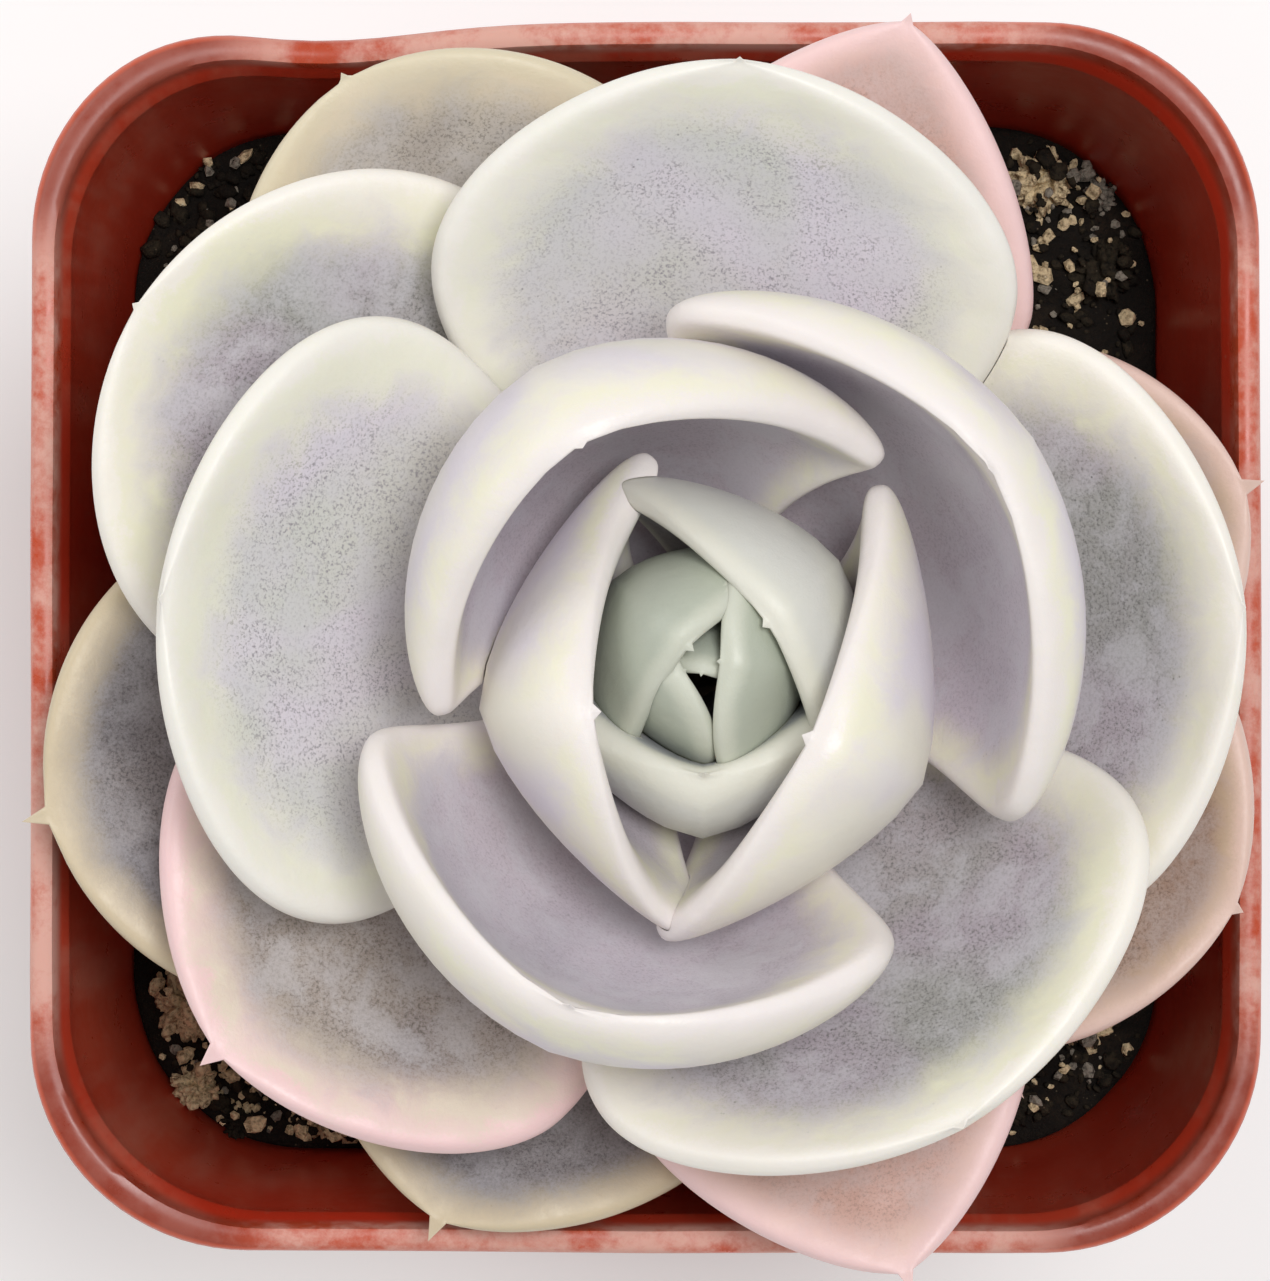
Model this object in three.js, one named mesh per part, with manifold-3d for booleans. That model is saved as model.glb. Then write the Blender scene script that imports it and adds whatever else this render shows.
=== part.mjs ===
// A small rosette succulent in a square plastic nursery pot.
// Millimetres, +Z up. The origin is the middle of the pot's underside, and the pot's sides face X and Y.
import * as THREE from "three";
import { mergeVertices } from "three/addons/utils/BufferGeometryUtils.js";
import Module from "manifold-3d";

const wasm = await Module();
wasm.setup();

const DEGREE = Math.PI / 180;

// Pot: a thin moulded tub that tapers to its base, with a thicker lip round the mouth.
const POT_HEIGHT = 75;
const POT_MOUTH_HALF = 34.5; // half the outside width at the top of the wall, under the lip's bead
const POT_BASE_HALF = 25;
const POT_WALL = 0.9;
const POT_FLOOR = 1.2;
const POT_CORNER_TOP = 11; // outside corner radius at the mouth
const POT_CORNER_BASE = 7;
const LIP_BEAD = 0.5; // how far the lip stands out from the wall
const LIP_HEIGHT = 3;
const LIP_ROUNDING = 0.4;
const BASE_BEVEL = 1;
const DRAIN_RADIUS = 2.5;
const DRAIN_SPACING = 30; // between the corner drain holes
const DRAIN_SIDES = 16;

// Growing mix and the clods that lie in its surface.
const FILL_DEPTH = 19; // from the rim down to the mix
const FILL_LUMP = 1.1; // height of the swells in the mix's surface
const CLEARANCE = 0.3; // left between two separate pieces that touch

// Clods, each a rough lump part sunk in the mix. size: half its width; squash: height to width
// at: its place along X and Y, as shares of the mix's half width
const CLODS = [
  { kind: "tan", at: [-0.89, -0.72], size: 2.6, squash: 0.8 },
  { kind: "tan", at: [-0.74, -0.81], size: 2.2, squash: 0.8 },
  { kind: "tan", at: [-0.89, -0.88], size: 1.6, squash: 0.9 },
  { kind: "tan", at: [-0.63, -0.93], size: 1.9, squash: 0.8 },
  { kind: "tan", at: [0.77, 0.89], size: 2.5, squash: 0.8 },
  { kind: "tan", at: [0.86, -0.76], size: 1.9, squash: 0.9 },
  { kind: "dark", at: [0.71, -0.9], size: 2.3, squash: 0.7 },
  { kind: "dark", at: [0.9, 0.73], size: 2.2, squash: 0.7 },
  { kind: "dark", at: [-0.79, -0.96], size: 1.2, squash: 0.8 },
  { kind: "grey", at: [0.89, 0.86], size: 1.3, squash: 0.9 },
  { kind: "grey", at: [-0.69, 0.92], size: 1.1, squash: 0.9 },
];
const CLOD_SUNK = 0.45; // share of a clod's half height that lies below the mix's surface
const CLOD_ROUGH = 0.16; // how far its surface strays, as a share of its size

// Plant: one short stem, and leaves that leave it at one divergence angle after another.
const CROWN_X = 3;
const CROWN_Y = -1.2;
const STEM_RADIUS = 3.6;
const STEM_BURIED = 12; // length below the mix's surface
const CROWN_HEIGHT = 9; // from the rim up to the growing point
const TAPER_LENGTH = 11; // the stem narrows over this length below the growing point
const TIP_RADIUS = 0.6;
const DIVERGENCE = 138.5; // degrees from one leaf to the next
const FIRST_LEAF = 84; // the innermost leaf's direction, degrees from +X
const LEAF_PITCH = 0.8; // height along the stem from one leaf's foot to the next

// Rounding of the meshes.
const CORNER_STEPS = 6; // facets in each corner of the pot and the mix
const LEAF_SIDES = 12; // points round a leaf's section
const LEAF_RINGS = 11; // sections from foot to tip

const rimHeight = POT_HEIGHT;
const fillHeight = POT_HEIGHT - FILL_DEPTH;
const crownTop = POT_HEIGHT + CROWN_HEIGHT;

// Leaves from the innermost to the outermost. All angles are in degrees and all lengths in mm.
// aside: turned from its place in the spiral
// length, width: along and across the open blade; thick: at its middle
// rise, lean: slope above level at the foot and at the tip, past 90 leaning back over the crown
// cup: how far the margins turn up; crease: below 1 a fold down the middle, above 1 a turn at the margins
// keel: ridge down the back; sweep: how far the tip swings sideways; roll: turn about its own length
// spine: length of the fine point; blunt: 1.5 tapers to the point, 2 is a round end, 2.5 is a broad one
const LEAVES = [
  {
    aside: -4, length: 12.2, width: 7.6, thick: 2, rise: 78, lean: 128, cup: 36,
    crease: 1, keel: 0.4, sweep: 0, roll: 0, spine: 0.3, blunt: 2.1,
  },
  {
    aside: -14, length: 13.4, width: 10.5, thick: 2.4, rise: 64, lean: 128, cup: 18,
    crease: 0.9, keel: 0.8, sweep: 0, roll: 0, spine: 0.3, blunt: 2.3,
  },
  {
    aside: -6, length: 14.8, width: 13, thick: 2.6, rise: 62, lean: 136, cup: 20,
    crease: 0.9, keel: 0.8, sweep: 0, roll: 0, spine: 0.3, blunt: 2.5,
  },
  {
    aside: -1, length: 16.6, width: 16.4, thick: 2.8, rise: 58, lean: 142, cup: 54,
    crease: 0.6, keel: 0.5, sweep: 0, roll: 0, spine: 0.5, blunt: 2.2,
  },
  {
    aside: -8, length: 15.5, width: 22, thick: 3.8, rise: 50, lean: 108, cup: 44,
    crease: 0.4, keel: 0.8, sweep: 0, roll: 0, spine: 0.5, blunt: 2.3,
  },
  {
    aside: -19, length: 18.4, width: 23.5, thick: 3.2, rise: 44, lean: 140, cup: 44,
    crease: 0.6, keel: 0.5, sweep: -0.5, roll: -4, spine: 0.5, blunt: 2.3,
  },
  {
    aside: -4, length: 23, width: 30.4, thick: 3.4, rise: 30, lean: 145, cup: 45,
    crease: 0.4, keel: 0.5, sweep: 1.6, roll: -10, spine: 0.6, blunt: 2.1,
  },
  {
    aside: -2, length: 25, width: 30, thick: 3.8, rise: 28, lean: 147, cup: 36,
    crease: 0.4, keel: 0.5, sweep: -1, roll: 4, spine: 0.6, blunt: 2.2,
  },
  {
    aside: 8, length: 29.6, width: 37, thick: 4.2, rise: 20, lean: 128, cup: 74,
    crease: 0.9, keel: 0.4, sweep: 0, roll: 0, spine: 0.5, blunt: 2.5,
  },
  {
    aside: -2, length: 32.4, width: 36, thick: 4.4, rise: 16, lean: 108, cup: 62,
    crease: 1, keel: 0.4, sweep: 0, roll: 0, spine: 0.5, blunt: 2.5,
  },
  {
    aside: 5, length: 31, width: 39, thick: 4.4, rise: 18, lean: 110, cup: 60,
    crease: 1, keel: 0.4, sweep: 0, roll: 0, spine: 0.5, blunt: 2.5,
  },
  {
    aside: 6, length: 32.5, width: 34, thick: 4.4, rise: 18, lean: 60, cup: 26,
    crease: 1.2, keel: 0.3, sweep: 0, roll: 0, spine: 0.4, blunt: 2.1,
  },
  {
    aside: -7, length: 32.5, width: 35, thick: 4.4, rise: 16, lean: 66, cup: 32,
    crease: 1.2, keel: 0.3, sweep: 0, roll: 0, spine: 0.7, blunt: 2.1,
  },
  {
    aside: 2, length: 34.8, width: 33, thick: 4.4, rise: 16, lean: 56, cup: 28,
    crease: 1.2, keel: 0.3, sweep: 0, roll: 0, spine: 0.5, blunt: 1.9,
  },
  {
    aside: -4, length: 34.4, width: 30.5, thick: 4, rise: 12, lean: 38, cup: 22,
    crease: 1.2, keel: 0.3, sweep: 0, roll: 0, spine: 1.4, blunt: 1.8,
  },
  {
    aside: 4, length: 31.5, width: 34, thick: 4.2, rise: 14, lean: 58, cup: 30,
    crease: 1.2, keel: 0.3, sweep: 0, roll: 0, spine: 0.4, blunt: 2.1,
  },
  {
    aside: 8, length: 37, width: 31, thick: 4, rise: 14, lean: 44, cup: 22,
    crease: 1.2, keel: 0.3, sweep: 0, roll: 0, spine: 0.4, blunt: 2.1,
  },
  {
    aside: 10, length: 35.5, width: 24, thick: 3.6, rise: 16, lean: 30, cup: 22,
    crease: 1.2, keel: 0.3, sweep: 0, roll: 0, spine: 1.2, blunt: 1.5,
  },
  {
    aside: 15, length: 36.5, width: 24, thick: 3.6, rise: 16, lean: 32, cup: 22,
    crease: 1.2, keel: 0.3, sweep: 0, roll: 0, spine: 0.6, blunt: 1.45,
  },
  {
    aside: -2, length: 37, width: 28, thick: 3.6, rise: 14, lean: 26, cup: 20,
    crease: 1.2, keel: 0.3, sweep: 0, roll: 0, spine: 1.6, blunt: 2,
  },
  {
    aside: 1, length: 32, width: 28, thick: 3.6, rise: 16, lean: 30, cup: 20,
    crease: 1.2, keel: 0.3, sweep: 0, roll: 0, spine: 0.6, blunt: 1.9,
  },
  {
    aside: 9, length: 37.5, width: 28, thick: 3.6, rise: 18, lean: 32, cup: 18,
    crease: 1.2, keel: 0.3, sweep: 0, roll: 0, spine: 0.5, blunt: 2,
  },
  {
    aside: -6, length: 34.5, width: 27, thick: 3.4, rise: 16, lean: 28, cup: 18,
    crease: 1.2, keel: 0.3, sweep: 0, roll: 0, spine: 1.4, blunt: 1.7,
  },
  {
    aside: -12, length: 32, width: 24, thick: 3.2, rise: 18, lean: 30, cup: 18,
    crease: 1.2, keel: 0.3, sweep: 0, roll: 0, spine: 1.3, blunt: 1.9,
  },
  {
    aside: -5, length: 28, width: 22, thick: 3, rise: 14, lean: 26, cup: 16,
    crease: 1.2, keel: 0.3, sweep: 0, roll: 0, spine: 0.8, blunt: 1.9,
  },
  {
    aside: 0, length: 29, width: 18, thick: 2.8, rise: 18, lean: 22, cup: 16,
    crease: 1.2, keel: 0.3, sweep: 0, roll: 0, spine: 1.2, blunt: 1.8,
  },
];

// ---- Solids ----

// A closed mesh as a solid that can be joined and cut.
function solidFrom(geometry) {
  const bare = geometry.index ? geometry.toNonIndexed() : geometry.clone();
  bare.deleteAttribute("normal");
  bare.deleteAttribute("uv");
  const merged = mergeVertices(bare, 1e-4);
  return new wasm.Manifold(
    new wasm.Mesh({
      numProp: 3,
      vertProperties: merged.attributes.position.array,
      triVerts: new Uint32Array(merged.index.array),
    }),
  );
}

function geometryFrom(solid) {
  const mesh = solid.getMesh();
  const geometry = new THREE.BufferGeometry();
  geometry.setAttribute("position", new THREE.BufferAttribute(mesh.vertProperties, 3));
  geometry.setIndex(new THREE.BufferAttribute(mesh.triVerts, 1));
  return geometry.toNonIndexed();
}

// The largest piece of a cut solid. Slivers that a cut frees are dropped.
function largestOf(solid) {
  return solid.decompose().sort((a, b) => b.volume() - a.volume())[0];
}

// ---- Pot ----

// Half the width of the wall's outside at a height, under the lip's bead.
function wallHalf(z) {
  return POT_BASE_HALF + ((POT_MOUTH_HALF - POT_BASE_HALF) * z) / POT_HEIGHT;
}

// Half the width of the space inside the wall at a height.
function wallInside(z) {
  return wallHalf(z) - POT_WALL;
}

// Half the length of the straight side between two corners at a height.
function straightHalf(z) {
  const corner = POT_CORNER_BASE + ((POT_CORNER_TOP - POT_CORNER_BASE) * z) / POT_HEIGHT;
  return wallHalf(z) - corner;
}

const MOST_STRAIGHT = 0.65; // share of a small square's half side that may be straight

// A turned profile [half width, height] made square with round corners. It starts and ends on the axis.
function squaredLathe(profile, bend = (x, y, z) => z) {
  const sides = 4 * (CORNER_STEPS + 1);
  const turned = new THREE.LatheGeometry(
    profile.map(([half, z]) => new THREE.Vector2(half, z)),
    sides,
  );
  turned.rotateX(Math.PI / 2); // the lathe turns about +Y, and the pot stands along +Z
  const position = turned.attributes.position;
  const step = 360 / sides;
  for (let i = 0; i < position.count; i++) {
    const [x, y, z] = [position.getX(i), position.getY(i), position.getZ(i)];
    const half = Math.hypot(x, y);
    // The lathe's points are shared out to the four corners: the straight sides need none of their own.
    const slot = half > 1e-6 ? Math.round(Math.atan2(y, x) / DEGREE / step + 4 * sides) % sides : 0;
    const corner = Math.floor(slot / (CORNER_STEPS + 1));
    const angle = (90 * (corner + (slot % (CORNER_STEPS + 1)) / CORNER_STEPS)) * DEGREE;
    const middle = (45 + 90 * corner) * DEGREE;
    const flat = Math.min(straightHalf(z), half * MOST_STRAIGHT);
    const round = half - flat;
    const px = flat * Math.sign(Math.cos(middle)) + round * Math.cos(angle);
    const py = flat * Math.sign(Math.sin(middle)) + round * Math.sin(angle);
    position.setXYZ(i, px, py, half > 1e-6 ? bend(px, py, z) : bend(0, 0, z));
  }
  return turned;
}

function potShape() {
  const lip = POT_MOUTH_HALF + LIP_BEAD;
  const lipFoot = POT_HEIGHT - LIP_HEIGHT;
  const tub = solidFrom(
    squaredLathe([
      [0, 0],
      [POT_BASE_HALF - BASE_BEVEL, 0],
      [wallHalf(BASE_BEVEL), BASE_BEVEL],
      [wallHalf(lipFoot), lipFoot],
      [lip, lipFoot + LIP_BEAD],
      [lip, POT_HEIGHT - LIP_ROUNDING],
      [lip - LIP_ROUNDING, POT_HEIGHT],
      [wallInside(POT_HEIGHT) + LIP_ROUNDING, POT_HEIGHT],
      [wallInside(POT_HEIGHT - LIP_ROUNDING), POT_HEIGHT - LIP_ROUNDING],
      [wallInside(POT_FLOOR + BASE_BEVEL), POT_FLOOR + BASE_BEVEL],
      [wallInside(POT_FLOOR) - BASE_BEVEL, POT_FLOOR],
      [0, POT_FLOOR],
    ]),
  );
  const drill = new THREE.CylinderGeometry(DRAIN_RADIUS, DRAIN_RADIUS, 4 * POT_FLOOR, DRAIN_SIDES);
  drill.rotateX(Math.PI / 2);
  let pot = tub;
  for (const x of [-1, 0, 1])
    for (const y of [-1, 0, 1]) {
      if (x === 0 && y === 0) continue; // the middle of the floor stays whole
      const hole = drill.clone().translate((x * DRAIN_SPACING) / 2, (y * DRAIN_SPACING) / 2, POT_FLOOR / 2);
      pot = pot.subtract(solidFrom(hole));
    }
  return pot;
}

// ---- Stem ----

const STEM_SIDES = 16;
const STEM_STEPS = 8; // rings in the tapered part
const STEM_TAPER = 0.7; // below 1 the taper is rounded at the top
const STEM_FOOT = 0.7; // share of the full radius at the buried end
const STEM_FOOT_RISE = 1.5; // height over which the buried end rounds out
const STEM_DOME = 0.4; // height of the rounded end over the growing point

// The stem's radius at a height. It narrows to the growing point.
function stemRadius(z) {
  const up = THREE.MathUtils.clamp((crownTop - z) / TAPER_LENGTH, 0, 1);
  return TIP_RADIUS + (STEM_RADIUS - TIP_RADIUS) * Math.pow(up, STEM_TAPER);
}

function stemShape(grow = 0) {
  const foot = fillHeight - STEM_BURIED;
  const profile = [
    [0, foot - grow],
    [stemRadius(foot) * STEM_FOOT + grow, foot - grow],
    [stemRadius(foot) + grow, foot + STEM_FOOT_RISE],
  ];
  for (let i = 0; i <= STEM_STEPS; i++) {
    const z = crownTop - TAPER_LENGTH + (TAPER_LENGTH * i) / STEM_STEPS;
    profile.push([stemRadius(z) + grow, z]);
  }
  profile.push([0, crownTop + STEM_DOME + grow]);
  const turned = new THREE.LatheGeometry(
    profile.map(([r, z]) => new THREE.Vector2(r, z)),
    STEM_SIDES,
  );
  turned.rotateX(Math.PI / 2);
  turned.translate(CROWN_X, CROWN_Y, 0);
  return solidFrom(turned);
}

// ---- Leaves ----

const CURL = 1.25; // above 1, most of a blade's bend is near its tip
const WIDEST = 0.6; // where along its length a blade is widest
const FOOT_WIDTH = 0.3; // share of the full width at the foot
const CUP_EASE = 0.6; // how fast the cupping eases off from the widest place to the tip
const ROUNDNESS = 1.09; // 1 gives a true ellipse at a bluntness of 2
const FOOT_FLARE = 1.3; // above 1 a blade stays narrow for longer above its foot
const SPINE_WIDTH = 0.09; // share of the full width at the root of the fine point
const SPINE_THICK = 0.16; // share of the full thickness there
const FOOT_THICK = 0.72; // share of the full thickness at the foot
const END_DROP = 5; // above 2 a blade keeps its thickness until close to its end
const RING_SHARE = 1.35; // above 1 the rings crowd towards the tip
const MARGIN_SHARE = 0.85; // below 1 the points of a section crowd towards the margins
const SIDE_ROUND = 0.7; // below 1 a section is boxier than an ellipse
const TOP_HOLLOW = 0.35; // how far the upper face sinks along its middle, as a share of its half thickness
const POLE_ROUND = 0.08; // share of the rings over which the foot rounds out
const CUP_STEPS = 8;
const SPINE_STEPS = 48;

// The middle line of a blade, as [out, up, slope] in the upright plane that it grows in.
function bladeLine(leaf, out, up) {
  const line = [[out, up, leaf.rise * DEGREE]];
  const step = leaf.length / SPINE_STEPS;
  const slopeAt = (share) => (leaf.rise + (leaf.lean - leaf.rise) * Math.pow(share, CURL)) * DEGREE;
  for (let i = 1; i <= SPINE_STEPS; i++) {
    const slope = slopeAt((i - 0.5) / SPINE_STEPS);
    out += step * Math.cos(slope);
    up += step * Math.sin(slope);
    line.push([out, up, slopeAt(i / SPINE_STEPS)]);
  }
  return line;
}

function alongLine(line, s) {
  const place = s * SPINE_STEPS;
  const i = Math.min(Math.floor(place), SPINE_STEPS - 1);
  return line[i].map((value, k) => value + (line[i + 1][k] - value) * (place - i));
}

// How far s lies past the widest place, on the way to the fine point: 0 to 1.
function pastWidest(leaf, s) {
  const bladeEnd = 1 - leaf.spine / leaf.length;
  return THREE.MathUtils.clamp((s - WIDEST) / (bladeEnd - WIDEST), 0, 1);
}

// How much of the fine point's root is left at s: 1 at its root, 0 at the tip.
function pointAt(leaf, s) {
  const root = (1.6 * leaf.spine) / leaf.length + 0.03;
  return THREE.MathUtils.clamp((1 - s) / root, 0, 1);
}

// Share of the full width at s along the blade: narrow at the foot, broad, then blunt with a fine point.
function outline(leaf, s) {
  if (s < WIDEST) {
    const opening = Math.sin(((Math.PI / 2) * s) / WIDEST);
    return FOOT_WIDTH + (1 - FOOT_WIDTH) * Math.pow(opening, FOOT_FLARE);
  }
  const round = Math.pow(1 - Math.pow(pastWidest(leaf, s), leaf.blunt), ROUNDNESS / leaf.blunt);
  return Math.max(round, SPINE_WIDTH * pointAt(leaf, s));
}

// Share of the full thickness at s.
function fullness(leaf, s) {
  const body = FOOT_THICK + (1 - FOOT_THICK) * Math.sin(Math.PI * Math.min(s / 0.9, 1));
  const end = Math.pow(1 - Math.pow(pastWidest(leaf, s), END_DROP), 0.6);
  return Math.max(body * end, SPINE_THICK * pointAt(leaf, s));
}

// A power that keeps the sign.
function eased(value, power) {
  return Math.sign(value) * Math.pow(Math.abs(value), power);
}

// A leaf is a sphere: its poles go to the foot and the tip, and its rings become the sections of the blade.
function leafShape(leaf, index, grow = 0) {
  const seat = crownTop - LEAF_PITCH * (index + 0.5);
  const foot = stemRadius(seat) + CLEARANCE;
  const line = bladeLine(leaf, foot, seat);
  const ball = new THREE.SphereGeometry(1, LEAF_SIDES, LEAF_RINGS);
  const position = ball.attributes.position;
  const turn = (FIRST_LEAF + DIVERGENCE * index + leaf.aside) * DEGREE;
  for (let i = 0; i < position.count; i++) {
    const ring = Math.acos(THREE.MathUtils.clamp(position.getY(i), -1, 1)) / Math.PI; // 0 at the foot
    const angle = Math.atan2(position.getZ(i), position.getX(i));
    const pole = ring < 1e-4 || ring > 1 - 1e-4;
    const s = 1 - Math.pow(1 - ring, RING_SHARE);
    const [out, up, slope] = alongLine(line, s);
    const half = (leaf.width / 2) * outline(leaf, s) + grow;
    const across = pole ? 0 : eased(Math.cos(angle), MARGIN_SHARE); // -1 and 1 at the margins
    const side = pole ? 0 : eased(Math.sin(angle), SIDE_ROUND); // 1 on the upper face, -1 on the back
    const ends = Math.min(1, Math.sqrt(ring / POLE_ROUND));
    const cup = leaf.cup * DEGREE * (s < WIDEST ? 1 : Math.pow(outline(leaf, s), CUP_EASE));
    // Across the blade: the margins turn up more and more.
    let wide = 0;
    let lift = 0;
    const cupStep = (half * Math.abs(across)) / CUP_STEPS;
    for (let k = 0; k < CUP_STEPS; k++) {
      const tilt = cup * Math.pow(((k + 0.5) / CUP_STEPS) * Math.abs(across), leaf.crease);
      wide += cupStep * Math.cos(tilt);
      lift += cupStep * Math.sin(tilt);
    }
    wide *= Math.sign(across) * ends;
    lift *= ends;
    const tilt = cup * eased(across, leaf.crease);
    const hollow = 1 - TOP_HOLLOW * Math.pow(1 - across * across, 2);
    const ridge = 1 + leaf.keel * Math.pow(1 - Math.abs(across), 1.5);
    const shape = side > 0 ? hollow : ridge;
    const depth = ((leaf.thick / 2) * fullness(leaf, s) * shape * ends + grow) * side;
    const b = wide - depth * Math.sin(tilt);
    const n = lift + depth * Math.cos(tilt);
    const roll = leaf.roll * DEGREE * s;
    const bb = b * Math.cos(roll) - n * Math.sin(roll) + leaf.sweep * s * s;
    const nn = b * Math.sin(roll) + n * Math.cos(roll);
    const stretch = pole ? (ring < 0.5 ? -grow : grow) : 0;
    const x = out + stretch * Math.cos(slope) - nn * Math.sin(slope);
    const z = up + stretch * Math.sin(slope) + nn * Math.cos(slope);
    position.setXYZ(
      i,
      CROWN_X + x * Math.cos(turn) - bb * Math.sin(turn),
      CROWN_Y + x * Math.sin(turn) + bb * Math.cos(turn),
      z,
    );
  }
  return solidFrom(ball);
}

// ---- Growing mix ----

// The swells in the mix's surface.
function swell(x, y) {
  const broad = Math.sin(x * 0.21 + 1.3) * Math.cos(y * 0.18 - 0.4);
  const fine = Math.sin(x * 0.55 - y * 0.4) * Math.cos(y * 0.61 + x * 0.2 + 2);
  return FILL_LUMP * (0.6 * broad + 0.4 * fine);
}

// Half the width at a height of what fits inside the wall.
function fillHalf(z) {
  return wallInside(z) - CLEARANCE;
}

// The space inside the wall, from below the mix's surface to above the lip.
function insideOfPot() {
  const low = fillHeight / 2;
  const high = POT_HEIGHT + 1;
  return solidFrom(squaredLathe([[0, low], [fillHalf(low), low], [fillHalf(high), high], [0, high]]));
}

const MIX_RINGS = [0.93, 0.84, 0.74, 0.62, 0.48, 0.32, 0.16, 0]; // shares of the surface's half width

function mixShape(clods) {
  const floor = POT_FLOOR + CLEARANCE;
  const shoulder = fillHeight - 2 * FILL_LUMP;
  const edge = fillHalf(fillHeight);
  const profile = [
    [0, floor],
    [fillHalf(floor) - 2 * BASE_BEVEL, floor],
    [fillHalf(floor + 2 * BASE_BEVEL), floor + 2 * BASE_BEVEL],
    [fillHalf(shoulder), shoulder],
    [edge - 0.4, fillHeight - 0.3],
  ];
  for (const share of MIX_RINGS) profile.push([edge * share, fillHeight]);
  const bumpy = (x, y, z) => (z > shoulder + 0.1 ? z + swell(x, y) : z);
  let mix = solidFrom(squaredLathe(profile, bumpy)).subtract(stemShape(CLEARANCE));
  for (const clod of clods) mix = mix.subtract(clod);
  return largestOf(mix);
}

// A rough lump: a ball whose points stray in and out.
function clodShape(clod, index, grow = 0) {
  const ball = new THREE.IcosahedronGeometry(1, 1);
  const position = ball.attributes.position;
  const [cx, cy] = clod.at.map((share) => share * fillHalf(fillHeight));
  const middle = fillHeight + swell(cx, cy) + clod.size * clod.squash * (1 - 2 * CLOD_SUNK);
  for (let i = 0; i < position.count; i++) {
    const [x, y, z] = [position.getX(i), position.getY(i), position.getZ(i)];
    const dents = Math.sin(5.1 * x + 1.7 * index) * Math.sin(4.3 * y - 2.3 * index);
    const reach = clod.size * (1 + CLOD_ROUGH * (dents + Math.sin(6.2 * z + index))) + grow;
    position.setXYZ(i, cx + x * reach, cy + y * reach, middle + z * reach * clod.squash);
  }
  return solidFrom(ball).intersect(insideOfPot());
}

// ---- Fitting the clods and the leaves ----

const EVEN = 0.05; // slivers finer than this that a cut leaves are closed up

// Each clod gives way to the clods before it.
function fittedClods() {
  const rooms = [];
  return CLODS.map((clod, index) => {
    let lump = clodShape(clod, index);
    for (const room of rooms) lump = lump.subtract(room);
    rooms.push(clodShape(clod, index, CLEARANCE));
    return largestOf(lump.asOriginal().simplify(EVEN));
  });
}

// The room that the pot's lip needs, with the clearance round it.
function roomForLip() {
  const lip = POT_MOUTH_HALF + LIP_BEAD + CLEARANCE;
  const foot = POT_HEIGHT - 2 * LIP_HEIGHT;
  const top = POT_HEIGHT + CLEARANCE;
  return solidFrom(squaredLathe([[0, foot], [lip, foot], [lip, top], [0, top]])).subtract(insideOfPot());
}

// Each leaf gives way to the pot, to the stem and to every leaf inside it.
function fittedLeaves() {
  const rooms = [roomForLip(), stemShape(CLEARANCE)];
  return LEAVES.map((leaf, index) => {
    let blade = leafShape(leaf, index);
    for (const room of rooms) blade = blade.subtract(room);
    rooms.push(leafShape(leaf, index, CLEARANCE));
    return largestOf(blade.asOriginal().simplify(EVEN));
  });
}

// ---- The plant in its pot ----

const LEAF_LOOK = { color: 0xc9c4c2, roughness: 0.55, metalness: 0 };
const STEM_LOOK = { color: 0x8a7a5c, roughness: 0.8, metalness: 0 };
const POT_LOOK = { color: 0x8e2f1e, roughness: 0.45, metalness: 0 };
const MIX_LOOK = { color: 0x1f1813, roughness: 0.95, metalness: 0 };
const CLOD_LOOKS = {
  tan: { color: 0xb3966a, roughness: 0.95, metalness: 0 },
  dark: { color: 0x2c2418, roughness: 0.95, metalness: 0 },
  grey: { color: 0x8d8a80, roughness: 0.9, metalness: 0 },
};

const group = new THREE.Group();

function add(name, solid, look) {
  const mesh = new THREE.Mesh(geometryFrom(solid), new THREE.MeshStandardMaterial(look));
  mesh.name = name;
  group.add(mesh);
}

const numbered = (word, index) => word + "_" + String(index + 1).padStart(2, "0");

add("pot", potShape(), POT_LOOK);
const sunk = CLODS.map((clod, index) => clodShape(clod, index, CLEARANCE));
add("growing_mix", mixShape(sunk), MIX_LOOK);
fittedClods().forEach((lump, index) => {
  const kind = CLODS[index].kind;
  add(numbered(kind + "_clod", index), lump, CLOD_LOOKS[kind]);
});
add("stem", stemShape(), STEM_LOOK);
fittedLeaves().forEach((blade, index) => add(numbered("leaf", index), blade, LEAF_LOOK));

export default group;
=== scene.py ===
import math
import random
import typing

import bmesh
import bpy
from mathutils import Matrix, Vector, noise


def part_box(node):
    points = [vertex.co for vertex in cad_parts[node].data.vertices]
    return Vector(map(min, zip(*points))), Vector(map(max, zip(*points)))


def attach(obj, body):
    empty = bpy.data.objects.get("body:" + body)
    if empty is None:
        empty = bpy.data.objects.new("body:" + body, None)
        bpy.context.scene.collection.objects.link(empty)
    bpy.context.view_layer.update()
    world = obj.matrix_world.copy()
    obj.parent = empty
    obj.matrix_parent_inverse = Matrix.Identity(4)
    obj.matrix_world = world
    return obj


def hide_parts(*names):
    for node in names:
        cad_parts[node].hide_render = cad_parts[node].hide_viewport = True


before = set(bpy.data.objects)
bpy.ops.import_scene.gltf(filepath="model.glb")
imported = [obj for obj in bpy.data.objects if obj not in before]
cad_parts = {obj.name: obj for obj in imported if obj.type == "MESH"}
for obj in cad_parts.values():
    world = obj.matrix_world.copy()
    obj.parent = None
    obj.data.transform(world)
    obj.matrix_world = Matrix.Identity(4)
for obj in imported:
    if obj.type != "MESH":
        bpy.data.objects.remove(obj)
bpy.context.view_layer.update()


# ---- The pot ----
# A thin tapered square tub with round corners and a rolled lip, one moulding in red-brown polypropylene.
# It comes out of its mould glossy; handling has rubbed the lip pale and scratched the wall.

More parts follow.
